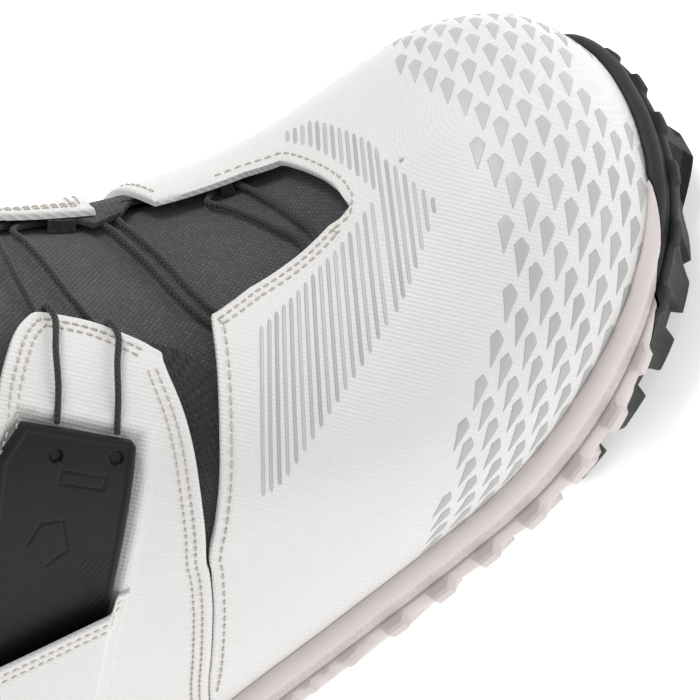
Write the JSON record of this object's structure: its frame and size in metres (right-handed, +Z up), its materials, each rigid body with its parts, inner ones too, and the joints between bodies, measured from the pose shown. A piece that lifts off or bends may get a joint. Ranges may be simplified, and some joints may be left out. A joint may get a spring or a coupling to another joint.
{
  "type": "snowboard boot",
  "caption": "Right snowboard boot: articulated cuff hinged at the ankle, pull handles for the lace zones, removable liner and lugged cup sole.",
  "frame": {"origin": "on the ground, at the middle of the sole's central lug under the arch", "axes": "+X towards the toe, +Y towards the inner side of the right foot, +Z up"},
  "size_m": [0.2992, 0.1172, 0.2972],
  "materials": {
    "white_synthetic": "embossed coated synthetic, satin",
    "dark_fabric": "woven stretch fabric",
    "dark_trim": "coated fabric strip",
    "collar_fabric": "padded knit",
    "tongue_fabric": "basket weave nylon",
    "board": "pressed fibre board",
    "foam": "moulded foam",
    "footbed_fabric": "fabric over foam",
    "liner_fabric": "brushed lining fabric",
    "cord": "braided",
    "black_plastic": "moulded, fine texture",
    "webbing": "woven tape",
    "sole_rubber": "moulded rubber, matt",
    "black_rubber": "moulded rubber, matt"
  },
  "bodies": {
    "lower_shell": {"vamp": "white_synthetic", "quarter_lateral": "white_synthetic", "quarter_medial": "white_synthetic", "heel_cup": "white_synthetic", "lower_pocket": "white_synthetic", "lower_handle_seat": "white_synthetic", "toe_puff": "dark_fabric", "vamp_gusset_lateral": "dark_fabric", "vamp_gusset_medial": "dark_fabric", "ankle_gusset": "dark_fabric", "tongue": "tongue_fabric", "heel_counter": "board", "lasting_board": "board", "midsole": "foam", "footbed": "footbed_fabric", "liner": "liner_fabric", "liner_tongue": "liner_fabric", "lower_lace": "cord", "lower_pull_cord_rear": "cord", "lower_pull_cord_front": "cord", "outsole": "sole_rubber", "toe_bumper": "black_rubber", "lower_lace_guide_1": "webbing", "lower_lace_guide_2": "webbing", "lower_lace_guide_3": "webbing"},
    "cuff": {"cuff_lateral": "white_synthetic", "cuff_medial": "white_synthetic", "backstay": "dark_trim", "collar_pad": "collar_fabric", "upper_lace": "cord", "upper_lace_guide_1": "webbing", "upper_lace_guide_2": "webbing", "upper_lace_guide_3": "webbing", "upper_pocket": "white_synthetic", "upper_pull_cord_rear": "cord", "upper_pull_cord_front": "cord", "heel_loop": "webbing", "tongue_loop": "webbing"},
    "lower_pull": {"lower_handle": "black_plastic"},
    "upper_pull": {"upper_handle": "black_plastic"}
  },
  "joints": [
    {"name": "cuff_flex", "type": "hinge", "parent": "lower_shell", "child": "cuff", "pos_m": [-0.075, 0, 0.11], "axis": [0, 1, 0], "range_deg": [0, 12], "stiffness_Nm_per_rad": 60, "deforming": ["tongue", "liner", "liner_tongue", "ankle_gusset"]},
    {"name": "lower_handle_pull", "type": "slide", "parent": "lower_shell", "child": "lower_pull", "axis": [0.8109, -0.0736, 0.5806], "range_m": [0, 0.045], "deforming": ["lower_pull_cord_rear", "lower_pull_cord_front"]},
    {"name": "upper_handle_pull", "type": "slide", "parent": "cuff", "child": "upper_pull", "axis": [0.2912, -0.1115, 0.9501], "range_m": [0, 0.045], "deforming": ["upper_pull_cord_rear", "upper_pull_cord_front"]}
  ]
}
